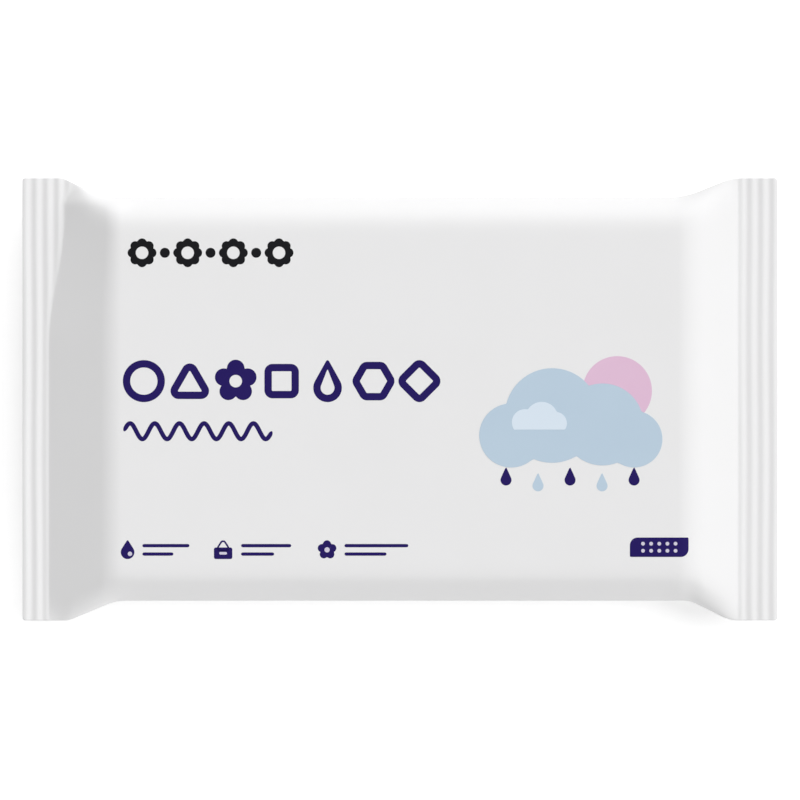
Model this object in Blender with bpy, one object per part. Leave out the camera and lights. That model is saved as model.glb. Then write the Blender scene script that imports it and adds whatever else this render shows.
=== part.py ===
"""Wet wipes pack: a sealed film flow pack with crimped end seals and a reseal label on its back.

Metres, +Z up. The pack lies on its back, front panel up, with its long side along X.
The origin is the centre of the pack's footprint, on the surface that it lies on.
"""

import math

import bmesh
import bpy

# Driving dimensions of the pack
pack_length = 0.1450  # over both end seals
body_width = 0.0774  # across the filled body
seal_span = 0.0850  # across the flattened film at an end seal
body_thickness = 0.0125  # front panel to back panel
seal_level = 0.0058  # height of the end seals above the back panel
seal_thickness = 0.0004  # crimped film, both layers
seal_width = 0.0080  # crimped band at each end
seal_corner = 0.0006  # rounded corners of the cut ends

# Slopes from the crimped bands up to the front and back panels
left_slope_run = 0.0114
right_slope_run = 0.0116
foot_softness = 0.03  # share of a slope that is rounded at its foot
left_crest_softness = 0.28  # share of the left slope that is rounded at its crest
right_crest_softness = 0.45

# Flares at the corners, where the film narrows from the seal's span to the body's width
flare_start = 0.0080  # inset from the cut end
flare_run = 0.0112
creased_flare_start = 0.0090  # the same at the lower right corner, which is drawn in more sharply
creased_flare_run = 0.0086
flare_foot_softness = 0.15
flare_crest_softness = 0.25

# Crimp ridges, which run across the pack
ridge_pitch = 0.00215
ridge_height = 0.00015  # crest above the middle of the film
first_crest = 0.00065  # from the cut end

# The front panel's film hangs over the inner edges of the seals
overhang = 0.0031  # at the left seal
overhang_start = 0.0070  # from the upper corner down to where the film leaves the seal's edge
overhang_full = 0.0320  # from the upper corner down to where it reaches its full overhang
right_overhang = 0.0005

# Long sides of the pack
upper_fold = 0.0080  # from the pack's edge in to where the front panel starts to fall, upper side
lower_fold = 0.0044  # the same at the lower side, where the film has a crease
back_fold = 0.0040  # the same on the back panel
straight_fall = 0.42  # share of the fall at a creased fold that is straight
crease_softness = 0.11  # share of the fold's width that the crease takes up
upper_curve = 3.0  # power by which the uncreased side falls
lower_curve = 2.2  # the same for what is not straight of a creased side
edge_radius = 0.0007  # of the outermost edge
fold_taper = 0.4  # power by which a fold narrows as the slope falls to the seal
least_share = 0.0001  # of the full height, at which the folds stop narrowing
edge_pull = 7  # power that keeps the flare of the seals near the pack's edges

# Lengthwise seam, folded flat against the back
fin_inset = 0.0167  # from the body's lower edge to the fin's fold line
fin_width = 0.0080
fin_thickness = 0.0004
fin_edge_run = 0.0002  # length over which an edge of the fin steps down

# Reseal label on the back
label_length = 0.0620
label_width = 0.0400
label_corner = 0.0070
label_thickness = 0.00015
label_gap = 0.00025  # the adhesive's space between label and film
tab_length = 0.0065  # finger tab at the label's right end
tab_width = 0.0200
tab_corner = 0.0050

# Colours in linear light, and roughness
film_colour = (0.80, 0.80, 0.81)
film_roughness = 0.38
label_colour = (0.50, 0.62, 0.73)
label_roughness = 0.30

# Mesh resolution
steps_per_ridge = 6
corner_steps = 3
slope_steps = 16
body_steps = 2
flat_steps = 8
edge_steps = 14
edge_power = 1.5  # power by which the columns crowd towards the edge
arc_steps = 8
sharp_angle = 40  # degrees; sharper folds are shaded as edges

# Derived sizes
half_length = pack_length / 2
body_half = body_width / 2
seal_half = seal_span / 2
left_crest = seal_width + left_slope_run
right_crest = seal_width + right_slope_run
film_half = seal_thickness / 2
edge_reach = max(upper_fold, lower_fold, back_fold)  # from the pack's edge in to where the columns become even
back_level = max(fin_thickness, label_gap + label_thickness)
seal_plane = back_level + seal_level
front_rise = body_thickness - seal_level
fin_root = fin_inset - body_half
fin_tip = fin_root - fin_width
fin_clearing = 2 * fin_edge_run  # no other column of points stands this near to the fin's edges
label_y = (fin_root + body_half) / 2  # centred on the back panel beside the fin


def ramp(t, foot, crest):
    """0 up to 1 as t goes from 0 to 1: a straight slope with a rounded foot and crest."""
    slope = 1 / (1 - foot / 2 - crest / 2)
    t = min(max(t, 0.0), 1.0)
    if t < foot:
        return slope * t * t / (2 * foot)
    if t > 1 - crest:
        return 1 - slope * (1 - t) ** 2 / (2 * crest)
    return slope * (t - foot / 2)


def ease(t):
    """Smooth step from 0 to 1."""
    t = min(max(t, 0.0), 1.0)
    return t * t * (3 - 2 * t)


def half_width(x, y):
    """Half the pack's width at x, on the side of y."""
    inset = half_length - abs(x)
    creased = x > 0 and y < 0
    start = creased_flare_start if creased else flare_start
    run = creased_flare_run if creased else flare_run
    narrowing = ramp((inset - start) / run, flare_foot_softness, flare_crest_softness)
    width = seal_half - (seal_half - body_half) * narrowing
    if inset < seal_corner:
        width -= seal_corner - math.sqrt(seal_corner**2 - (seal_corner - inset) ** 2)
    return width


def front_foot(x, y):
    """Inset at which the front panel's slope starts, which the overhang moves out."""
    if x > 0:
        return seal_width - right_overhang
    below_corner = seal_half - y
    return seal_width - overhang * ease((below_corner - overhang_start) / (overhang_full - overhang_start))


def crimp(inset, foot):
    """Height of the crimp ridges, which die out just past the foot of the slope."""
    fade = 1 - ease((inset - foot) / (ridge_pitch / 2))
    return ridge_height * math.cos(2 * math.pi * (inset - first_crest) / ridge_pitch) * fade


def climb(x, foot):
    """Share of a panel's full height at x: nothing on the crimped band, then the slope."""
    crest = right_crest if x > 0 else left_crest
    softness = right_crest_softness if x > 0 else left_crest_softness
    return ramp((half_length - abs(x) - foot) / (crest - foot), foot_softness, softness)


def bulge(x, y, share, fold, straight, curve):
    """Share of its height that a panel has at y: 1 inside its fold, falling to 0 at the pack's edge.

    The fall is a straight part, which starts at a softened crease, and a part that curves down to a round edge.
    """
    run = fold * max(share, least_share) ** fold_taper
    s = max(half_width(x, y) - abs(y), 0.0)
    u = math.sqrt((s * s + 2 * edge_radius * s) / (run * run + 2 * edge_radius * run))
    crease = crease_softness * math.log1p(math.exp((1 - u) / crease_softness))
    crease_at_edge = crease_softness * math.log1p(math.exp(1 / crease_softness))
    curved = (1 - straight * crease_at_edge) * max(0.0, 1 - u) ** curve
    return max(0.0, 1 - straight * crease - curved)


def front_z(x, y):
    """Height of the film's outer surface on the front."""
    foot = front_foot(x, y)
    share = climb(x, foot)
    if y > 0:
        fall = bulge(x, y, share, upper_fold, 0, upper_curve)
    else:
        fall = bulge(x, y, share, lower_fold, straight_fall, lower_curve)
    return seal_plane + crimp(half_length - abs(x), foot) + film_half + (front_rise - film_half) * share * fall


def fin_step(y):
    """How far the folded fin stands off the back at y."""
    outer = (y - fin_tip) / fin_edge_run
    inner = (fin_root - y) / fin_edge_run
    return fin_thickness * min(max(min(outer, inner), 0.0), 1.0)


def back_z(x, y):
    """Height of the film's outer surface on the back, with the fin."""
    share = climb(x, seal_width)
    fall = bulge(x, y, share, back_fold, straight_fall, lower_curve)
    drop = film_half + (seal_level - film_half) * share * fall
    return seal_plane + crimp(half_length - abs(x), seal_width) - drop - fin_step(y)


def insets(crest):
    """Distances from an end at which a section is cut, out to the front panel's crest."""
    corner_angles = [math.pi / 2 * i / corner_steps for i in range(corner_steps + 1)]
    corner = [seal_corner * (1 - math.cos(angle)) for angle in corner_angles]
    ridge_steps = math.ceil(seal_width / ridge_pitch * steps_per_ridge)
    step = seal_width / ridge_steps
    crimped = [step * i for i in range(1, ridge_steps + 1) if step * i > seal_corner + step / 2]
    slope_end = max(crest, flare_start + flare_run, creased_flare_start + creased_flare_run)
    sloped = [seal_width + (slope_end - seal_width) * i / slope_steps for i in range(1, slope_steps + 1)]
    return corner + crimped + sloped


def section_places():
    """The X of every section, from the left end to the right."""
    left = [-half_length + d for d in insets(left_crest)]
    right = [half_length - d for d in reversed(insets(right_crest))]
    middle = [left[-1] + (right[0] - left[-1]) * i / body_steps for i in range(1, body_steps)]
    return left + middle + right


def body_columns():
    """The Y of every lengthwise row of points, as in the filled body, from edge to edge."""
    edge = [body_half - edge_reach * (i / edge_steps) ** edge_power for i in range(edge_steps)]
    inner = body_half - edge_reach
    flat = [inner * (1 - 2 * i / flat_steps) for i in range(flat_steps + 1)]
    places = edge + flat + [-y for y in reversed(edge)]
    fin_edges = [fin_root, fin_root - fin_edge_run, fin_tip + fin_edge_run, fin_tip]
    kept = [y for y in places if all(abs(y - edge_y) > fin_clearing for edge_y in fin_edges)]
    return sorted(kept + fin_edges)


def spread(x, y):
    """Moves a body column outwards where the film flattens: the middle stays, the edge follows the width."""
    return y + (half_width(x, y) - body_half) * (y / body_half) ** edge_pull


def make_mesh(name, bm):
    """Turns a finished bmesh into a smooth-shaded mesh with its faces pointing out."""
    bmesh.ops.recalc_face_normals(bm, faces=bm.faces)
    mesh = bpy.data.meshes.new(name)
    bm.to_mesh(mesh)
    bm.free()
    mesh.shade_smooth()
    mesh.set_sharp_from_angle(angle=math.radians(sharp_angle))
    return mesh


def add_part(name, mesh, material):
    part = bpy.data.objects.new(name, mesh)
    mesh.materials.append(material)
    bpy.context.scene.collection.objects.link(part)
    return part


def make_pack(material):
    """The sealed film pack: flat sections joined one after another from end to end."""
    bm = bmesh.new()
    columns = body_columns()
    rings = []
    for x in section_places():
        inset = half_length - abs(x)
        ys = [spread(x, y) for y in columns]
        edge_z = seal_plane + crimp(inset, seal_width)
        low = bm.verts.new((x, ys[0], edge_z))
        high = bm.verts.new((x, ys[-1], edge_z))
        front = [bm.verts.new((x, y, front_z(x, y))) for y in ys[1:-1]]
        back = [bm.verts.new((x, y, back_z(x, y))) for y in ys[1:-1]]
        rings.append([low] + front + [high] + back[::-1])
    for ring, following in zip(rings, rings[1:]):
        for i in range(len(ring)):
            j = (i + 1) % len(ring)
            bm.faces.new((ring[i], ring[j], following[j], following[i]))
    bm.faces.new(rings[0])
    bm.faces.new(rings[-1])
    return add_part("sealed_pack", make_mesh("sealed_pack", bm), material)


def arc(centre_x, centre_y, radius, start, end):
    """Points of an arc, angles in degrees."""
    angles = [math.radians(start + (end - start) * i / arc_steps) for i in range(arc_steps + 1)]
    return [(centre_x + radius * math.cos(a), centre_y + radius * math.sin(a)) for a in angles]


def label_outline():
    """Rounded rectangle with a rounded finger tab in the middle of its right end."""
    x = label_length / 2 - label_corner
    y = label_width / 2 - label_corner
    tab_root = label_length / 2
    tab_x = tab_root + tab_length - tab_corner
    tab_y = tab_width / 2 - tab_corner
    outline = arc(x, -y, label_corner, -90, 0)
    outline += [(tab_root, -tab_width / 2)] + arc(tab_x, -tab_y, tab_corner, -90, 0)
    outline += arc(tab_x, tab_y, tab_corner, 0, 90) + [(tab_root, tab_width / 2)]
    outline += arc(x, y, label_corner, 0, 90)
    outline += arc(-x, y, label_corner, 90, 180)
    outline += arc(-x, -y, label_corner, 180, 270)
    return outline


def make_label(material):
    """The self-adhesive label that covers the opening on the back."""
    bm = bmesh.new()
    under = back_level - label_gap - label_thickness
    face = bm.faces.new([bm.verts.new((x, y, under)) for x, y in label_outline()])
    lifted = bmesh.ops.extrude_face_region(bm, geom=[face])["geom"]
    top = [v for v in lifted if isinstance(v, bmesh.types.BMVert)]
    bmesh.ops.translate(bm, verts=top, vec=(0, 0, label_thickness))
    label = add_part("reseal_label", make_mesh("reseal_label", bm), material)
    label.location = (0, label_y, 0)
    return label


def make_material(name, colour, roughness):
    """A plain Principled material of this colour and roughness, not metallic."""
    material = bpy.data.materials.new(name)
    material.use_nodes = True
    shader = material.node_tree.nodes["Principled BSDF"]
    shader.inputs["Base Color"].default_value = (*colour, 1)
    shader.inputs["Roughness"].default_value = roughness
    shader.inputs["Metallic"].default_value = 0
    return material


def main():
    for old in list(bpy.data.objects):
        bpy.data.objects.remove(old)
    make_pack(make_material("white_film", film_colour, film_roughness))
    make_label(make_material("label_film", label_colour, label_roughness))


main()
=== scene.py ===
import math

import bpy
import numpy as np
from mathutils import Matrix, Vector


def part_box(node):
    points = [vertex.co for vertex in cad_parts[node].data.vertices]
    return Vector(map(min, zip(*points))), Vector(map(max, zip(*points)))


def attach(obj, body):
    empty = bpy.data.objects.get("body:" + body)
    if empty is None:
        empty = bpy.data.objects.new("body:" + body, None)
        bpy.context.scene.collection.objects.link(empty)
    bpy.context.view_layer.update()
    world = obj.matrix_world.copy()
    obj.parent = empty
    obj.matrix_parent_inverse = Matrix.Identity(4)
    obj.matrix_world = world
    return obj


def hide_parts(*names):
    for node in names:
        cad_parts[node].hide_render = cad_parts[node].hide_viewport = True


mm = 0.001

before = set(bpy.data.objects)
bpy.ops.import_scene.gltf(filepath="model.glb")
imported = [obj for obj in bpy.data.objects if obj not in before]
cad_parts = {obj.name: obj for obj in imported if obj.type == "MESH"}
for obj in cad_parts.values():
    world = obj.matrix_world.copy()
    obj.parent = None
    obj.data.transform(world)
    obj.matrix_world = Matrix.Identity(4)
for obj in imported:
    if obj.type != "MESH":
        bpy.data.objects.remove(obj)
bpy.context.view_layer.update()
packLow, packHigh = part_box("sealed_pack")
labelLow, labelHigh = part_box("reseal_label")
print("frame loaded, pack", [round((h - l) / mm, 1) for l, h in zip(packLow, packHigh)], "mm")


# Shared maths, all on whole arrays

def ease(t):
    # 3 t squared minus 2 t cubed, held between 0 and 1
    t = np.clip(t, 0, 1)
    return t * t * (3 - 2 * t)


def ramp(t, foot, crest):
    # a straight slope from 0 to 1 whose first part and last part are parabolas
    slope = 1 / (1 - foot / 2 - crest / 2)
    t = np.clip(t, 0, 1)
    rising = slope * t * t / (2 * foot)
    levelling = 1 - slope * (1 - t) ** 2 / (2 * crest)
    return np.where(t < foot, rising, np.where(t > 1 - crest, levelling, slope * (t - foot / 2)))


def ripple(x, y, waves):
    # sum of plane waves: height times the sine of two pi (x cos a + y sin a) / length, plus a phase
    total = np.zeros(np.broadcast(x, y).shape)
    for height, length, angle, phase in waves:
        along = x * math.cos(angle) + y * math.sin(angle)
        total = total + height * np.sin(2 * math.pi * along / length + phase)
    return total


# Shared mesh making

def gridFaces(rows, columns, closeRows=False):
    # quads between the neighbouring rows and columns of a grid; its columns always close in a ring
    r = np.arange(rows if closeRows else rows - 1)[:, None]
    c = np.arange(columns)[None, :]
    nextR = (r + 1) % rows
    nextC = (c + 1) % columns
    here, there = r * columns, nextR * columns
    return np.stack([here + c, here + nextC, there + nextC, there + c], axis=-1).reshape(-1, 4)


def poleFaces(ring, pole, flip=False):
    # triangles from a closed ring of points to the one point at its pole
    following = np.roll(ring, -1)
    sides = [following, ring] if flip else [ring, following]
    return np.stack(sides + [np.full(len(ring), pole)], axis=-1)


def meshFrom(name, points, quads, triangles=()):
    # foreach_set puts the arrays straight into the mesh: quads first, then triangles
    triangles = np.asarray(triangles, int).reshape(-1, 3)
    corners = np.concatenate([quads.ravel(), triangles.ravel()])
    sides = np.repeat([4, 3], [len(quads), len(triangles)])
    starts = np.cumsum(sides) - sides
    mesh = bpy.data.meshes.new(name)
    mesh.vertices.add(len(points))
    mesh.vertices.foreach_set("co", points.astype(np.float32).ravel())
    mesh.loops.add(len(corners))
    mesh.loops.foreach_set("vertex_index", corners.astype(np.int32))
    mesh.polygons.add(len(starts))
    mesh.polygons.foreach_set("loop_start", starts.astype(np.int32))
    mesh.update(calc_edges=True)
    mesh.validate()
    return mesh


def addPiece(name, mesh, material, sharpAngle=40):
    mesh.shade_smooth()
    mesh.set_sharp_from_angle(angle=math.radians(sharpAngle))
    mesh.materials.append(material)
    piece = bpy.data.objects.new(name, mesh)
    bpy.context.scene.collection.objects.link(piece)
    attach(piece, "root")
    print(f"{name}: {len(mesh.polygons)} faces")
    return piece


# Materials: every finish is satin film, with print under its surface

satinLook = dict(
    specular=0.10,
    roughness=0.56,
    roughnessSpread=0.05,
    grainScale=2600,  # fine grain of the laminate
    grainHeight=0.000004,
    crinkleScale=160,  # soft unevenness of the film
    crinkleHeight=0.00002,
    toneScale=90,  # slow drift of the tone over the sheet
)


def satinMaterial(name, colour, otherColour, **changes):
    look = {**satinLook, **changes}
    material = bpy.data.materials.new(name)
    material.use_nodes = True
    nodes = material.node_tree.nodes
    link = material.node_tree.links.new
    shader = nodes["Principled BSDF"]
    shader.inputs["Specular IOR Level"].default_value = look["specular"]
    where = nodes.new("ShaderNodeTexCoord").outputs["Object"]

    def noise(scale, detail=2):
        node = nodes.new("ShaderNodeTexNoise")
        node.inputs["Scale"].default_value = scale
        node.inputs["Detail"].default_value = detail
        link(where, node.inputs["Vector"])
        return node.outputs["Fac"]

    tone = nodes.new("ShaderNodeMix")
    tone.data_type = "RGBA"
    # its sockets for colours
    share, first, second, mixed = tone.inputs[0], tone.inputs[6], tone.inputs[7], tone.outputs[2]
    first.default_value = (*colour, 1)
    second.default_value = (*otherColour, 1)
    link(noise(look["toneScale"]), share)
    link(mixed, shader.inputs["Base Color"])

    spread = nodes.new("ShaderNodeMapRange")
    spread.inputs["To Min"].default_value = look["roughness"] - look["roughnessSpread"]
    spread.inputs["To Max"].default_value = look["roughness"] + look["roughnessSpread"]
    grain = noise(look["grainScale"])
    link(grain, spread.inputs["Value"])
    link(spread.outputs["Result"], shader.inputs["Roughness"])

    crinkle = nodes.new("ShaderNodeBump")
    crinkle.inputs["Distance"].default_value = look["crinkleHeight"]
    link(noise(look["crinkleScale"], detail=3), crinkle.inputs["Height"])
    fine = nodes.new("ShaderNodeBump")
    fine.inputs["Distance"].default_value = look["grainHeight"]
    link(grain, fine.inputs["Height"])
    link(crinkle.outputs["Normal"], fine.inputs["Normal"])
    link(fine.outputs["Normal"], shader.inputs["Normal"])
    return material


whiteFilm = satinMaterial("whiteFilm", (0.792, 0.790, 0.792), (0.808, 0.806, 0.812))
navyInk = satinMaterial("navyInk", (0.010, 0.004, 0.092), (0.020, 0.010, 0.108))
blackInk = satinMaterial("blackInk", (0.003, 0.003, 0.004), (0.006, 0.006, 0.008))
paleInk = satinMaterial("paleInk", (0.60, 0.57, 0.68), (0.63, 0.60, 0.71))
skyInk = satinMaterial("skyInk", (0.470, 0.585, 0.697), (0.495, 0.612, 0.718))
mistInk = satinMaterial("mistInk", (0.66, 0.75, 0.84), (0.69, 0.78, 0.87))
blushInk = satinMaterial("blushInk", (0.70, 0.46, 0.62), (0.74, 0.52, 0.67))
labelFilm = satinMaterial(
    "labelFilm", (0.485, 0.600, 0.715), (0.515, 0.630, 0.745), roughness=0.28, specular=0.5
)
print("materials made")


# The film pack

film = dict(
    backLevel=0.0004,
    sealRise=0.0058,  # from the back panel up to the middle of the end seals
    bodyWidth=0.0774,
    sealWidth=0.0080,
    sealThickness=0.00034,
    sealCorner=0.0006,
    slopeRun=(0.0114, 0.0116),  # left and right, from the crimped band up to the front panel
    slopeFoot=0.025,
    slopeCrest=(0.28, 0.45),
    # the seals' extra width: where it starts to narrow, over what length, and how softly it starts
    # and ends, at the upper left, upper right, lower left and lower right
    flareStart=(0.0069, 0.0064, 0.0081, 0.0075),
    flareRun=(0.0113, 0.0150, 0.0117, 0.0107),
    flareFoot=(0.15, 0.30, 0.15, 0.30),
    flareCrest=(0.45, 0.45, 0.30, 0.25),
    ridgePitch=0.00215,
    ridgeHeight=0.00010,
    firstCrest=0.00065,
    ridgeFade=0.0016,  # over which the last ridge fades
    ridgeFadeLead=0.7,  # share of that fade which lies before the slope
    ridgeDrift=0.00007,  # how far the ridges wander sideways
    driftLength=0.047,  # and over what length
    overhang=0.0031,  # how far the left slope runs out over the seal
    overhangStart=0.0070,  # below the upper corner of that seal
    overhangFull=0.0320,
    cornerHold=0.0018,  # how far the slope's foot moves in at that corner
    cornerReach=0.0055,
    cornerSoft=0.30,  # how much softer that foot is there
    rightOverhang=0.0005,
    foldEnds=(0.0215, 0.0070),  # towards the ends the folds change from this inset, over this span
    edgeRound=0.0007,
    shoulderReach=0.0034,
    leastShare=1e-4,  # keeps a power of the height's share away from zero
    edgePull=7,  # power by which only the outermost points follow the flare
    finInset=0.0167,
    finWidth=0.0080,
    finThickness=0.00034,
    finEdgeRun=0.0002,
    topGap=0.00012,  # the film stays this far under the model's box, as room for the print
)
# A long side. Run: how far in its fold lies. Straight: the share of its drop that is straight, with
# a corner as soft as soft says at the fold. Curve: the power of the rest. Shoulder: a shallow fall
# before the fold. At the left and the right end: the power of the height by which the run shrinks,
# how round the edge turns, and how much the straight share grows.
upperSide = dict(
    run=0.0080,
    straight=0.0,
    soft=0.30,
    curve=3.0,
    shoulder=0.0,
    shrink=(0.25, 0.15),
    endEdge=(0.0040, 0.0007),
    endStraight=(0.0, 0.0),
)
lowerSide = dict(
    run=0.0044,
    straight=0.32,
    soft=0.09,
    curve=2.1,
    shoulder=0.034,
    shrink=(0.0, 0.0),
    endEdge=(0.0050, 0.0050),
    endStraight=(0.30, 0.25),
)
backSide = dict(
    run=0.0040,
    straight=0.45,
    soft=0.20,
    curve=2.2,
    shoulder=0.0,
    shrink=(0.6, 0.6),
    endEdge=(0.0007, 0.0007),
    endStraight=(0.0, 0.0),
)
frontWaves = [  # height, length, angle, phase
    (0.000022, 0.061, 0.4, 0.3),
    (0.000016, 0.037, 2.1, 1.9),
    (0.000010, 0.023, 1.2, 4.0),
]

halfLength = (packHigh.x - packLow.x) / 2
sealHalf = (packHigh.y - packLow.y) / 2
bodyHalf = film["bodyWidth"] / 2
sealPlane = film["backLevel"] + film["sealRise"]
frontRise = packHigh.z - film["topGap"] - sealPlane
backDrop = sealPlane - film["backLevel"]
finRoot = film["finInset"] - bodyHalf
finTip = finRoot - film["finWidth"]


def byCorner(values, x, y):
    # one value for each corner: upper left, upper right, lower left, lower right
    return np.where(y < 0, np.where(x < 0, *values[2:]), np.where(x < 0, *values[:2]))


def halfWidth(x, y):
    # the seals' half width less a ramp down to the body's; a quarter circle rounds the cut corners
    inset = halfLength - np.abs(x)
    start, run = byCorner(film["flareStart"], x, y), byCorner(film["flareRun"], x, y)
    foot, crest = byCorner(film["flareFoot"], x, y), byCorner(film["flareCrest"], x, y)
    width = sealHalf - (sealHalf - bodyHalf) * ramp((inset - start) / run, foot, crest)
    r = film["sealCorner"]
    return width - r + np.sqrt(np.maximum(0, r * r - np.maximum(0, r - inset) ** 2))


def frontFoot(x, y):
    # inset where the front's slope starts: the seal's width less the overhang, which on the left is
    # a smooth step along y, after a smooth step from where the upper corner holds it in
    below = sealHalf - y
    share = ease((below - film["overhangStart"]) / (film["overhangFull"] - film["overhangStart"]))
    held = film["cornerHold"] * ease(1 - below / film["cornerReach"])
    left = film["overhang"] * share - held
    return film["sealWidth"] - np.where(x < 0, left, film["rightOverhang"])


def crimp(inset, y, foot):
    # a cosine of the inset, which wanders a little along y and dies out at the foot of the slope
    fade = 1 - ease((inset - foot) / film["ridgeFade"] + film["ridgeFadeLead"])
    drift = film["ridgeDrift"] * np.sin(2 * np.pi * y / film["driftLength"])
    turn = 2 * np.pi * (inset - film["firstCrest"] - drift) / film["ridgePitch"]
    return film["ridgeHeight"] * np.cos(turn) * fade


def climb(x, foot):
    # share of a panel's full height at this x: a ramp from the crimped band to the panel, with a
    # softer foot where the corner holds it in
    crest = film["sealWidth"] + np.where(x < 0, *film["slopeRun"])
    softCrest = np.where(x < 0, *film["slopeCrest"])
    softer = film["cornerSoft"] * np.maximum(0, foot - film["sealWidth"]) / film["cornerHold"]
    inset = halfLength - np.abs(x)
    return ramp((inset - foot) / (crest - foot), film["slopeFoot"] + softer, softCrest)


def bulge(x, y, share, side):
    # 1 on the panel, less three drops that end at 0 on the pack's edge: the straight one is a
    # softened corner at u = 1, the shoulder a parabola that starts beyond it, and the curved one a
    # power of 1 - u. u starts from 0 at the edge as a square root, so that the edge is round.
    start, span = film["foldEnds"]
    near = ease((start - halfLength + np.abs(x)) / span)
    run = side["run"] * np.maximum(share, film["leastShare"]) ** np.where(x < 0, *side["shrink"])
    endEdge = np.where(x < 0, *side["endEdge"])
    edge = film["edgeRound"] + near * (endEdge - film["edgeRound"])
    straight = side["straight"] + near * np.where(x < 0, *side["endStraight"])
    soft, reach = side["soft"], film["shoulderReach"]
    s = np.maximum(halfWidth(x, y) - np.abs(y), 0)
    u = np.sqrt((s * s + 2 * edge * s) / (run * run + 2 * edge * run))
    lean = straight * soft * np.logaddexp(0, (1 - u) / soft)
    shoulder = side["shoulder"] * np.maximum(0, 1 - (s - run) / reach) ** 2
    leanAtEdge = straight * soft * np.logaddexp(0, 1 / soft)
    shoulderAtEdge = side["shoulder"] * (1 + run / reach) ** 2
    curved = (1 - leanAtEdge - shoulderAtEdge) * np.maximum(0, 1 - u) ** side["curve"]
    return np.maximum(0, 1 - lean - shoulder - curved)


def rim(x, y):
    # half the crimped film, rounded off at the pack's edge by a quarter circle
    thin = film["sealThickness"] / 2
    s = np.clip(halfWidth(x, y) - np.abs(y), 0, thin)
    return np.sqrt(np.maximum(0, thin * thin - (thin - s) ** 2))


def frontHeight(x, y):
    # seal plane, crimp and film, plus the panel's height times its share and bulge, plus a faint
    # unevenness
    foot = frontFoot(x, y)
    share = climb(x, foot)
    swell = share * np.where(y < 0, bulge(x, y, share, lowerSide), bulge(x, y, share, upperSide))
    height = (frontRise - film["sealThickness"] / 2) * swell
    seal = sealPlane + crimp(halfLength - np.abs(x), y, foot) + rim(x, y)
    return seal + height + ripple(x, y, frontWaves) * swell**2


def finStep(y):
    # the fin's thickness between its two edges, with a short straight run at each
    outer = (y - finTip) / film["finEdgeRun"]
    inner = (finRoot - y) / film["finEdgeRun"]
    return film["finThickness"] * np.clip(np.minimum(outer, inner), 0, 1)


def backHeight(x, y):
    # seal plane and crimp, less the film, the panel's drop times its share and bulge, and the fin
    inset = halfLength - np.abs(x)
    share = climb(x, film["sealWidth"])
    drop = (backDrop - film["sealThickness"] / 2) * share * bulge(x, y, share, backSide)
    return sealPlane + crimp(inset, y, film["sealWidth"]) - rim(x, y) - drop - finStep(y)


filmGrid = dict(
    stepsPerRidge=14,
    cornerSteps=5,
    slopeSteps=46,
    bodySteps=80,
    flatSteps=76,
    edgeSteps=34,
    edgeReach=0.0085,  # how far in from the edge the closer rows start
    edgePower=1.8,
)


def sectionPlaces():
    # x of every section: close together over the crimps and the slopes, wide apart along the body
    ridgeSteps = int(film["sealWidth"] / film["ridgePitch"] * filmGrid["stepsPerRidge"])
    quarter = np.linspace(0, np.pi / 2, filmGrid["cornerSteps"])
    corner = film["sealCorner"] * (1 - np.cos(quarter))
    crimped = np.linspace(film["sealCorner"], film["sealWidth"], ridgeSteps)[1:]
    slopeTop = film["sealWidth"] + max(film["slopeRun"])
    sloped = np.linspace(film["sealWidth"], slopeTop, filmGrid["slopeSteps"])[1:]
    near = np.concatenate([corner, crimped, sloped])
    reach = halfLength - near[-1]
    middle = np.linspace(-reach, reach, filmGrid["bodySteps"])[1:-1]
    return np.concatenate([-halfLength + near, middle, halfLength - near[::-1]])


def rowPlaces():
    # y of every lengthwise row of points: even over the panel, closer by a power towards the edges,
    # and at the fin's folds
    steps = np.arange(filmGrid["edgeSteps"]) / filmGrid["edgeSteps"]
    edge = bodyHalf - filmGrid["edgeReach"] * steps ** filmGrid["edgePower"]
    inner = bodyHalf - filmGrid["edgeReach"]
    places = np.concatenate([-edge, np.linspace(-inner, inner, filmGrid["flatSteps"]), edge])
    folds = np.array([finRoot, finRoot - film["finEdgeRun"], finTip + film["finEdgeRun"], finTip])
    near = np.abs(places[:, None] - folds[None, :]).min(axis=1) < film["finEdgeRun"]
    return np.sort(np.concatenate([places[~near], folds]))


def makeFilm():
    # every section is a ring: the front from edge to edge, then the back, whose edges it shares
    x = sectionPlaces()[:, None]
    row = rowPlaces()[None, :]
    width = halfWidth(x, row)
    y = row + (width - bodyHalf) * (row / bodyHalf) ** film["edgePull"]
    front = np.stack(np.broadcast_arrays(x, y, frontHeight(x, y)), axis=-1)
    back = np.stack(np.broadcast_arrays(x, y, backHeight(x, y)), axis=-1)
    middle = sealPlane + crimp(halfLength - np.abs(x), y[:, [0, -1]], film["sealWidth"])
    front[:, [0, -1], 2] = middle  # the two panels meet at the pack's long edges
    ring = np.concatenate([front, back[:, -2:0:-1]], axis=1)
    sections, around = ring.shape[:2]
    sides = gridFaces(sections, around)[:, ::-1]
    i = np.arange(front.shape[1] - 1)
    mirror = (around - i) % around
    mirrorNext = (around - i - 1) % around
    cap = np.stack([i, i + 1, mirrorNext, mirror], axis=-1)
    ends = [cap[1:-1], cap[1:-1, ::-1] + (sections - 1) * around]
    tips = np.concatenate([cap[[0]][:, [0, 1, 2]], cap[[-1]][:, [0, 1, 3]]])
    tips = np.concatenate([tips, tips[:, ::-1] + (sections - 1) * around])
    return meshFrom("filmPack", ring.reshape(-1, 3), np.concatenate([sides, *ends]), tips)


pack = addPiece("filmPack", makeFilm(), whiteFilm)
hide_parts("sealed_pack")


# The heat-sealed face of the fin, with fine ridges across it
fin = dict(
    pitch=0.0013,
    ridgeHeight=0.000026,
    proud=0.000029,
    margin=0.0004,
    stepsPerRidge=10,
    across=9,
)


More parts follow.
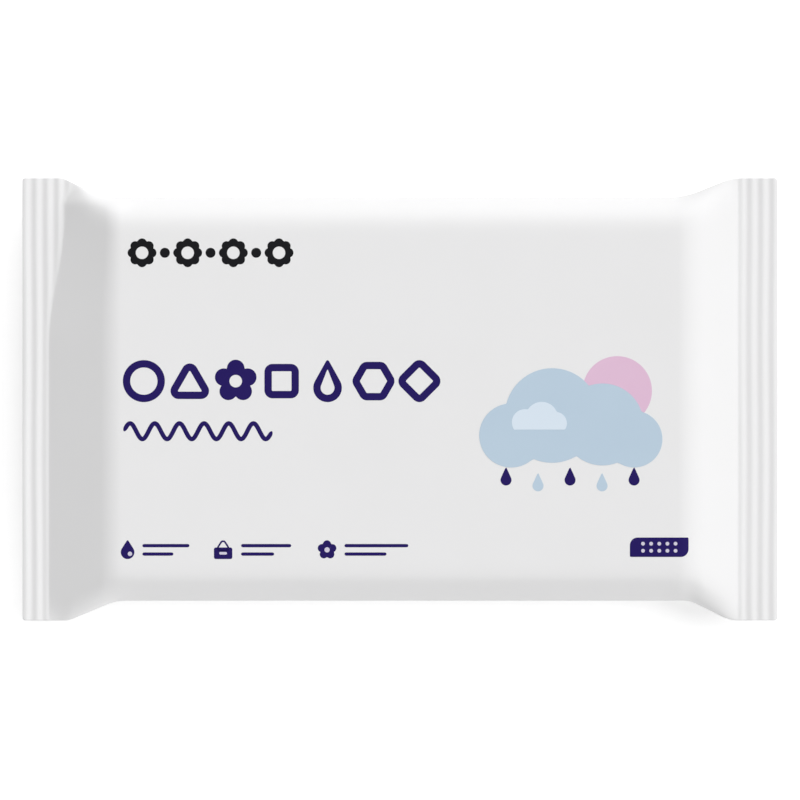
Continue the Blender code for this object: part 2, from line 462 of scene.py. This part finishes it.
def makeFinFace():
    # a strip whose face is proud of the fin by a constant less a cosine of x, and whose other side
    # is inside the film
    halfRun = halfLength - film["sealWidth"]
    count = int(2 * halfRun / fin["pitch"] * fin["stepsPerRidge"])
    x = np.linspace(-halfRun, halfRun, count)[:, None]
    y = np.linspace(finTip + fin["margin"], finRoot - fin["margin"], fin["across"])[None, :]
    ground = backHeight(x, y)
    ridges = fin["proud"] - fin["ridgeHeight"] * np.cos(2 * np.pi * x / fin["pitch"])
    face = np.stack(np.broadcast_arrays(x, y, ground - ridges), axis=-1)
    inside = np.stack(np.broadcast_arrays(x, y, ground + fin["proud"]), axis=-1)
    ring = np.concatenate([face, inside[:, ::-1]], axis=1)
    sections, around = ring.shape[:2]
    i = np.arange(fin["across"] - 1)
    cap = np.stack([around - 1 - i, around - 2 - i, i + 1, i], axis=-1)
    ends = [cap, cap[:, ::-1] + (sections - 1) * around]
    quads = np.concatenate([gridFaces(sections, around), *ends])
    return meshFrom("finFace", ring.reshape(-1, 3), quads)


addPiece("finFace", makeFinFace(), whiteFilm)


# Print: thin patches that follow the front panel

ink = dict(
    around=480,  # directions in which an outline is first worked out
    step=0.28 * mm,  # length of its final steps
    leastSteps=24,
    across=7,  # rings between a patch's middle and its outline
    under=0.02 * mm,  # how deep a patch reaches into the film
    lift=0.02 * mm,  # how far its face stands above the film, for each layer
)
rayAngles = np.linspace(0, 2 * np.pi, ink["around"], endpoint=False)
rays = np.stack([np.cos(rayAngles), np.sin(rayAngles)], axis=-1)


def hull(discs):
    # for each direction, the disc that reaches farthest that way, and the point on its rim
    discs = np.asarray(discs, float)
    farthest = np.argmax(rays @ discs[:, :2].T + discs[:, 2], axis=1)
    return discs[farthest, :2] + rays * discs[farthest, 2:]


def bloom(discs, base=None):
    # along each ray from the middle, the farthest crossing with any disc's rim; where there is a
    # straight base, it cuts the rays short
    discs = np.asarray(discs, float)
    along = rays @ discs[:, :2].T
    inside = discs[:, 2] ** 2 - (discs[:, 0] ** 2 + discs[:, 1] ** 2)[None, :] + along**2
    reach = np.where(inside > 0, along + np.sqrt(np.maximum(inside, 0)), 0).max(axis=1)
    if base is not None:
        down = np.minimum(rays[:, 1], -1e-9)  # kept away from zero
        reach = np.where(rays[:, 1] < 0, np.minimum(reach, base / down), reach)
    return rays * reach[:, None]


def evenly(outline, count):
    # the same closed line with its points at even lengths along it
    closed = np.concatenate([outline, outline[:1]])
    length = np.concatenate([[0], np.cumsum(np.hypot(*np.diff(closed, axis=0).T))])
    wanted = np.linspace(0, length[-1], count, endpoint=False)
    return np.stack([np.interp(wanted, length, closed[:, i]) for i in (0, 1)], axis=-1)


def patch(outer, inner, layer=1, ground=frontHeight, up=1):
    # a closed thin plate: its face runs from the inner outline, or where there is none from the
    # middle, to the outer outline, and its underside runs back
    share = np.linspace(0, 1, ink["across"])
    filled = inner is None
    length = np.hypot(*(outer - np.roll(outer, 1, axis=0)).T).sum()
    count = max(ink["leastSteps"], int(length / ink["step"]))
    outer = evenly(outer, count)[::up]
    if filled:
        inner = np.broadcast_to(outer.mean(axis=0), outer.shape)
        share = share[1:]
    else:
        inner = evenly(inner, count)[::up]
    plan = inner[None] + share[:, None, None] * (outer - inner)[None]
    lift, under = up * ink["lift"] * layer, up * ink["under"]
    height = ground(plan[..., 0], plan[..., 1])
    face = np.dstack([plan, height + lift])
    underside = np.dstack([plan, height - under])[::-1]
    points = np.concatenate([face, underside])
    rows, columns = points.shape[:2]
    quads = gridFaces(rows, columns, closeRows=not filled)[:, ::-1]
    points = points.reshape(-1, 3)
    if not filled:
        return points, quads, np.zeros((0, 3), int)
    middle = inner[0]
    level = ground(middle[0], middle[1])
    poles = np.array([[*middle, level + lift], [*middle, level - under]])
    firstRing = np.arange(columns)
    lastRing = firstRing + (rows - 1) * columns
    top = poleFaces(firstRing, len(points))
    bottom = poleFaces(lastRing, len(points) + 1, flip=True)
    return np.concatenate([points, poles]), quads, np.concatenate([top, bottom])


def printed(name, material, slot, shapes, **placing):
    # all the patches of one ink in one piece
    points, quads, triangles, count = [], [], [], 0
    for outer, inner in shapes:
        p, q, t = patch(outer, inner, **placing)
        points.append(p)
        quads.append(q + count)
        triangles.append(t + count)
        count += len(p)
    mesh = meshFrom(name, *[np.concatenate(parts) for parts in (points, quads, triangles)])
    addPiece(name, mesh, material)


def at(x, y, outline):
    return outline + np.array([x, y])


def disc(x, y, r):
    return hull([(x, y, r)])


def bar(x, y, length, height):
    # a straight bar with round ends
    r = height / 2
    return hull([(x - length / 2 + r, y, r), (x + length / 2 - r, y, r)])


def corners(count, radius, r, turn=np.pi / 2):
    # discs of radius r at the corners of a regular polygon
    headings = turn + 2 * np.pi * np.arange(count) / count
    return [(radius * math.cos(a), radius * math.sin(a), r) for a in headings]


def flower(petalAt, petal, petals=5):
    # the outline of round petals that overlap about a middle
    return bloom(corners(petals, petalAt, petal))


def inMetres(discs):
    return [(x * mm, y * mm, r * mm) for x, y, r in discs]


# A chain of daisies with dots between them, high on the left
daisies = dict(
    left=-51.9 * mm,
    y=27.9 * mm,
    count=4,
    r=2.75 * mm,
    petals=8,
    petal=0.92 * mm,
    hole=1.2 * mm,
    dot=0.95 * mm,
    gap=0.65 * mm,
)


def daisyShapes():
    r, dot, y = daisies["r"], daisies["dot"], daisies["y"]
    pitch = 2 * (r + dot + daisies["gap"])
    daisy = flower(r - daisies["petal"], daisies["petal"], daisies["petals"])
    for i in range(daisies["count"]):
        x = daisies["left"] + r + i * pitch
        yield at(x, y, daisy), disc(x, y, daisies["hole"])
        if i < daisies["count"] - 1:
            yield disc(x + pitch / 2, y, dot), None


printed("daisyPrint", blackInk, "black_ink", daisyShapes())

# A row of outlined toy shapes, the boldest print
toys = dict(
    x=-48.8 * mm,
    y=3.45 * mm,
    pitch=8.75 * mm,
    size=4.0 * mm,
    stroke=1.4 * mm,
    cornerRound=1.1,  # in strokes
    # shares of the size
    triangleDown=0.16,
    petalAt=0.60,
    petal=0.42,
    flowerHole=0.30,
    bellyDown=0.32,
    belly=0.68,
    insideTip=0.52,
    # radius of the drop's tip, outside and inside
    tip=0.3 * mm,
    tipInside=0.1 * mm,
)


def toyShapes():
    size, stroke = toys["size"], toys["stroke"]
    soft = toys["cornerRound"] * stroke
    hard = soft - stroke

    def polygon(count, turn, down=0.0):
        reach = size - soft
        outer = [(x, y - down, r) for x, y, r in corners(count, reach, soft, turn)]
        inner = [(x, y - down, r) for x, y, r in corners(count, reach, hard, turn)]
        return hull(outer), hull(inner)

    belly = toys["belly"] * size
    bellyY = -toys["bellyDown"] * size
    drop = [(0, bellyY, belly), (0, size - toys["tip"], toys["tip"])]
    dropInside = [(0, bellyY, belly - stroke), (0, toys["insideTip"] * size, toys["tipInside"])]
    petals = flower(toys["petalAt"] * size, toys["petal"] * size)
    forms = [
        (disc(0, 0, size), disc(0, 0, size - stroke)),
        polygon(3, np.pi / 2, toys["triangleDown"] * size),
        (petals, disc(0, 0, toys["flowerHole"] * size)),
        polygon(4, np.pi / 4),
        (hull(drop), hull(dropInside)),
        polygon(6, 0),
        polygon(4, 0),
    ]
    for i, (outer, inner) in enumerate(forms):
        x = toys["x"] + i * toys["pitch"]
        yield at(x, toys["y"], outer), at(x, toys["y"], inner)


printed("toyShapePrint", navyInk, "navy_ink", toyShapes())


# A wave line under them
wave = dict(
    left=-52.6 * mm,
    right=-24.4 * mm,
    y=-6.1 * mm,
    height=1.5 * mm,
    length=4.7 * mm,
    stroke=0.84 * mm,
    bluntness=0.02,  # the share of a round nose that is left out, so that it has a little width
    steps=240,
)


def makeWave():
    # a closed strip along y = height sin(2 pi x / length), half a stroke to each side along the
    # curve's normal, with a quarter circle's widths at both ends
    x = np.linspace(wave["left"], wave["right"], wave["steps"])
    turn = 2 * np.pi / wave["length"]
    phase = turn * (x - wave["left"])
    line = np.stack([x, wave["y"] + wave["height"] * np.sin(phase)], axis=-1)
    slope = wave["height"] * turn * np.cos(phase)
    normal = np.stack([-slope, np.ones_like(x)], axis=-1) / np.sqrt(1 + slope**2)[:, None]
    fromEnd = np.minimum(x - wave["left"], wave["right"] - x) / (wave["stroke"] / 2)
    nose = np.sqrt(1 - (1 - np.clip(fromEnd, wave["bluntness"], 1)) ** 2)
    half = normal * (nose * wave["stroke"] / 2)[:, None]
    plan = np.stack([line + half, line - half, line - half, line + half], axis=1)
    lift = np.array([ink["lift"], ink["lift"], -ink["under"], -ink["under"]])
    points = np.dstack([plan, frontHeight(plan[..., 0], plan[..., 1]) + lift])
    last = (len(x) - 1) * 4
    ends = np.array([[3, 2, 1, 0], [last, last + 1, last + 2, last + 3]])
    quads = np.concatenate([gridFaces(len(x), 4), ends])
    return meshFrom("waveLinePrint", points.reshape(-1, 3), quads)


addPiece("waveLinePrint", makeWave(), navyInk)

# Three pictograms, each with two lines beside it; discs are x, y and radius in mm
signs = dict(
    y=-28.7 * mm,
    dropX=-51.9 * mm,
    drop=[(0, -0.45, 1.3), (0, 1.75, 0.12)],
    dropShine=[(0.45, -0.75, 0.42)],
    bagX=-33.7 * mm,
    bag=[(-1.45, -1.45, 0.3), (-1.45, 0.15, 0.3), (1.45, -1.45, 0.3), (1.45, 0.15, 0.3)],
    handle=[(-0.55, 0.35, 0.62), (0.55, 0.35, 0.62), (0, 1.2, 0.62)],
    handleInside=[(-0.55, 0.35, 0.3), (0.55, 0.35, 0.3), (0, 1.2, 0.3)],
    bagBar=[(-0.5, -0.65, 0.25), (0.5, -0.65, 0.25)],
    flowerX=-13.9 * mm,
    petalAt=1.05 * mm,
    petal=0.78 * mm,
    flowerMiddle=[(0, 0, 0.5)],
    # left end and length of each upper line
    lines=[(-49.1 * mm, 9.0 * mm), (-30.3 * mm, 9.6 * mm), (-10.6 * mm, 12.2 * mm)],
    lineHeight=0.62 * mm,
    lineStep=1.6 * mm,
    shorter=0.66,  # share of that length in the lower line
)


def signShape(sign, shape):
    return at(signs[sign + "X"], signs["y"], hull(inMetres(signs[shape])))


def signShapes():
    yield signShape("drop", "drop"), None
    yield signShape("bag", "bag"), None
    yield signShape("bag", "handle"), signShape("bag", "handleInside")
    yield at(signs["flowerX"], signs["y"], flower(signs["petalAt"], signs["petal"])), None


def signAccents():
    for sign, shape in (("drop", "dropShine"), ("bag", "bagBar"), ("flower", "flowerMiddle")):
        yield signShape(sign, shape), None


def signLines():
    for left, length in signs["lines"]:
        for side, share in ((0.5, 1.0), (-0.5, signs["shorter"])):
            span = length * share
            y = signs["y"] + side * signs["lineStep"]
            yield bar(left + span / 2, y, span, signs["lineHeight"]), None


printed("pictogramPrint", navyInk, "navy_ink", signShapes())
printed("pictogramAccentPrint", paleInk, "white_film", signAccents(), layer=2)
printed("lineBarPrint", navyInk, "navy_ink", signLines())

# A small plate of dots, two rows of five; two of its corners are round and two tight
plate = dict(
    x=49.4 * mm,
    y=-28.2 * mm,
    length=11.2 * mm,
    height=3.7 * mm,
    round=1.5 * mm,
    tight=0.15 * mm,
)
dots = dict(rows=2, columns=5, stepX=1.55 * mm, stepY=1.35 * mm, r=0.36 * mm)


def plateCorners():
    # one disc in each corner of the rectangle
    halfX, halfY = plate["length"] / 2, plate["height"] / 2
    for sx, sy in ((-1, 1), (1, 1), (1, -1), (-1, -1)):
        r = plate["tight"] if sx == sy else plate["round"]
        yield plate["x"] + sx * (halfX - r), plate["y"] + sy * (halfY - r), r


def dotShapes():
    for row in range(dots["rows"]):
        for column in range(dots["columns"]):
            x = plate["x"] + (column - (dots["columns"] - 1) / 2) * dots["stepX"]
            y = plate["y"] + (row - (dots["rows"] - 1) / 2) * dots["stepY"]
            yield disc(x, y, dots["r"]), None


printed("platePrint", navyInk, "navy_ink", [(hull(list(plateCorners())), None)])
printed("plateDotPrint", paleInk, "white_film", dotShapes(), layer=2)

# The picture: a cloud over a low sun, with a small pale cloud on it and rain under it
sun = dict(x=41.4 * mm, y=1.6 * mm, r=6.6 * mm)
cloud = dict(
    x=32.4 * mm,
    y=-5.0 * mm,
    base=-8.0 * mm,
    puffs=[(-11.2, -1.9, 6.1), (-3.4, 1.9, 9.0), (6.2, 0.2, 7.8), (12.2, -2.6, 5.4)],
)
smallCloud = dict(
    x=26.4 * mm,
    y=-4.6 * mm,
    base=-1.2 * mm,
    puffs=[(-2.6, 0.2, 2.5), (0.6, 1.0, 3.1), (3.2, 0.0, 2.2)],
)
rain = dict(
    y=-15.4 * mm,
    step=6.1 * mm,
    count=5,
    r=1.05 * mm,
    tail=2.3 * mm,
    tip=0.1 * mm,
    stagger=1.1 * mm,
)


def cloudShape(values):
    return at(values["x"], values["y"], bloom(inMetres(values["puffs"]), values["base"])), None


def rainShapes(first):
    # every second drop: the even ones and the odd ones have different inks
    drop = hull([(0, 0, rain["r"]), (0, rain["tail"], rain["tip"])])
    for i in range(first, rain["count"], 2):
        x = cloud["x"] + (i - (rain["count"] - 1) / 2) * rain["step"]
        y = rain["y"] - (i % 2) * rain["stagger"]
        yield at(x, y, drop), None


printed("sunPrint", blushInk, "pink_ink", [(disc(**sun), None)])
printed("cloudPrint", skyInk, "blue_ink", [cloudShape(cloud)], layer=2)
printed("smallCloudPrint", mistInk, "blue_ink", [cloudShape(smallCloud)], layer=3)
printed("rainPrint", navyInk, "navy_ink", rainShapes(0))
printed("lightRainPrint", skyInk, "blue_ink", rainShapes(1))
print("print done")


# The reseal label on the back

label = dict(
    length=0.0620,
    tabLength=0.0065,
    tabWidth=0.0200,
    corner=0.0070,
    tabCorner=0.0050,
    under=0.00003,  # height above the surface that the pack lies on
    top=0.00036,
    edgeRound=0.00010,
    rings=24,
    arcSteps=16,
)
labelY = (labelLow.y + labelHigh.y) / 2
labelWidth = labelHigh.y - labelLow.y


def arc(x, y, r, start, end):
    # part of a circle, between two angles in degrees
    turns = np.radians(np.linspace(start, end, label["arcSteps"]))
    return np.stack([x + r * np.cos(turns), y + r * np.sin(turns)], axis=-1)


def labelOutline(shrink=0.0):
    # quarter circles at the corners of the rectangle and of the finger tab, moved in by the shrink
    r, tabR = label["corner"] - shrink, label["tabCorner"] - shrink
    x, y = label["length"] / 2 - label["corner"], labelWidth / 2 - label["corner"]
    tabX = label["length"] / 2 + label["tabLength"] - label["tabCorner"]
    tabY = label["tabWidth"] / 2 - label["tabCorner"]
    root = label["length"] / 2 - shrink
    return np.concatenate([
        arc(x, -y, r, -90, 0),
        [(root, -label["tabWidth"] / 2 + shrink)],
        arc(tabX, -tabY, tabR, -90, 0),
        arc(tabX, tabY, tabR, 0, 90),
        [(root, label["tabWidth"] / 2 - shrink)],
        arc(x, y, r, 0, 90),
        arc(-x, y, r, 90, 180),
        arc(-x, -y, r, 180, 270),
    ]) + [(0, labelY)]


def makeLabel():
    # rings from the middle of the underside out to the rim, round it, and back to the top's middle
    outline = labelOutline()
    inner = labelOutline(label["edgeRound"])
    middle = np.array([0.0, labelY])
    share = np.linspace(0, 1, label["rings"])[1:]
    bottom = middle + share[:, None, None] * (inner - middle)[None]
    low, high, soft = label["under"], label["top"], label["edgeRound"]
    rings = [np.dstack([bottom, np.full(bottom.shape[:2], low)])]
    for z in (low + soft, high):
        rings.append(np.dstack([outline[None], np.full((1, len(outline)), z)]))
    rings.append(np.dstack([bottom[::-1], np.full(bottom.shape[:2], high)]))
    points = np.concatenate(rings)
    rows, columns = points.shape[:2]
    poles = np.array([[*middle, low], [*middle, high]])
    quads = gridFaces(rows, columns)
    ring = np.arange(columns)
    first = poleFaces(ring, rows * columns, flip=True)
    last = poleFaces(ring + (rows - 1) * columns, rows * columns + 1)
    points = np.concatenate([points.reshape(-1, 3), poles])
    return meshFrom("resealLabel", points, quads, np.concatenate([first, last]))


resealLabel = addPiece("resealLabel", makeLabel(), labelFilm)
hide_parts("reseal_label")

# Its print: a line along its edge, a flower with rings round it, and three dots on the tab
labelPrint = dict(
    inset=0.0022,
    stroke=0.0007,
    petalAt=0.0030,
    petal=0.0021,
    flowerHole=0.0014,
    rings=(0.0098, 0.0128),
    ringStroke=0.0006,
    dotRadius=0.0008,
    dotStep=0.0034,
)


def labelUnderside(x, y):
    # a level plane
    return np.full(np.shape(x), label["under"])


def labelLineShapes():
    inset = labelPrint["inset"]
    yield labelOutline(inset), labelOutline(inset + labelPrint["stroke"])
    for r in labelPrint["rings"]:
        yield disc(0, labelY, r), disc(0, labelY, r - labelPrint["ringStroke"])


def labelFlowerShapes():
    petals = flower(labelPrint["petalAt"], labelPrint["petal"])
    yield at(0, labelY, petals), disc(0, labelY, labelPrint["flowerHole"])
    x = label["length"] / 2 + label["tabLength"] / 2
    for i in (-1, 0, 1):
        yield disc(x, labelY + i * labelPrint["dotStep"], labelPrint["dotRadius"]), None


printed("labelLinePrint", mistInk, "blue_ink", labelLineShapes(), ground=labelUnderside, up=-1)
printed("labelFlowerPrint", navyInk, "navy_ink", labelFlowerShapes(), ground=labelUnderside, up=-1)
print("label done")


# Floor, lights and camera

stage = dict(
    size=1.6,
    floorColour=(0.90, 0.90, 0.90),
    floorGlow=0.395,  # what the camera sees on top of the lit floor
    worldLight=0.41,
    worldSeen=1.0,  # white
)
# strength, where the light comes from, and how many degrees across its source looks
lamps = dict(
    keyLamp=dict(strength=1.48, towards=(0.381, 0.05, 0.272), softness=30),
    fillLamp=dict(strength=1.32, towards=(0.0, -0.42, 0.03), softness=50),
    topLamp=dict(strength=1.61, towards=(0.0, 0.44, 0.262), softness=50),
)
view = dict(lens=200, sensor=36, nearest=0.05, farthest=10, y=-0.00015, aboveSeal=0.8534)


def seenByCamera(nodes, link):
    # 1 for rays from the camera, and for those that a mirror or a glass sends on
    path = nodes.new("ShaderNodeLightPath")
    total = path.outputs["Is Camera Ray"]
    for name in ("Is Glossy Ray", "Is Transmission Ray"):
        add = nodes.new("ShaderNodeMath")
        add.operation = "MAXIMUM"
        link(total, add.inputs[0])
        link(path.outputs[name], add.inputs[1])
        total = add.outputs[0]
    return total


def makeFloor():
    half = stage["size"] / 2
    mesh = bpy.data.meshes.new("floor")
    square = [(-half, -half, 0), (half, -half, 0), (half, half, 0), (-half, half, 0)]
    mesh.from_pydata(square, [], [(0, 1, 2, 3)])
    floor = bpy.data.objects.new("floor", mesh)
    bpy.context.scene.collection.objects.link(floor)
    material = bpy.data.materials.new("floorPaper")
    material.use_nodes = True
    nodes, link = material.node_tree.nodes, material.node_tree.links.new
    nodes.clear()
    paper = nodes.new("ShaderNodeBsdfDiffuse")
    paper.inputs["Color"].default_value = (*stage["floorColour"], 1)
    glow = nodes.new("ShaderNodeEmission")
    glow.inputs["Strength"].default_value = stage["floorGlow"]
    both = nodes.new("ShaderNodeAddShader")
    link(paper.outputs[0], both.inputs[0])
    link(glow.outputs[0], both.inputs[1])
    pick = nodes.new("ShaderNodeMixShader")
    link(seenByCamera(nodes, link), pick.inputs[0])
    link(paper.outputs[0], pick.inputs[1])
    link(both.outputs[0], pick.inputs[2])
    link(pick.outputs[0], nodes.new("ShaderNodeOutputMaterial").inputs["Surface"])
    mesh.materials.append(material)


def makeWorld():
    world = bpy.data.worlds.new("studio")
    bpy.context.scene.world = world
    world.use_nodes = True
    nodes, link = world.node_tree.nodes, world.node_tree.links.new
    nodes.clear()
    light = nodes.new("ShaderNodeBackground")
    light.inputs["Strength"].default_value = stage["worldLight"]
    seen = nodes.new("ShaderNodeBackground")
    seen.inputs["Strength"].default_value = stage["worldSeen"]
    for background in (light, seen):
        background.inputs["Color"].default_value = (1, 1, 1, 1)
    pick = nodes.new("ShaderNodeMixShader")
    link(seenByCamera(nodes, link), pick.inputs[0])
    link(light.outputs[0], pick.inputs[1])
    link(seen.outputs[0], pick.inputs[2])
    link(pick.outputs[0], nodes.new("ShaderNodeOutputWorld").inputs["Surface"])


def makeLamp(name, strength, towards, softness):
    # a sun shines along its own -Z, so its Z is turned towards where the light comes from
    data = bpy.data.lights.new(name, "SUN")
    data.energy = strength
    data.angle = math.radians(softness)
    lamp = bpy.data.objects.new(name, data)
    lamp.rotation_euler = Vector(towards).to_track_quat("Z", "Y").to_euler()
    bpy.context.scene.collection.objects.link(lamp)


def makeCamera():
    data = bpy.data.cameras.new("camera")
    data.lens = view["lens"]
    data.sensor_width = view["sensor"]
    data.clip_start = view["nearest"]
    data.clip_end = view["farthest"]
    camera = bpy.data.objects.new("camera", data)
    camera.location = (0, view["y"], sealPlane + view["aboveSeal"])
    bpy.context.scene.collection.objects.link(camera)
    bpy.context.scene.camera = camera


makeFloor()
makeWorld()
for name, values in lamps.items():
    makeLamp(name, **values)
makeCamera()
bpy.context.scene.view_settings.view_transform = "Standard"
print("stage done")
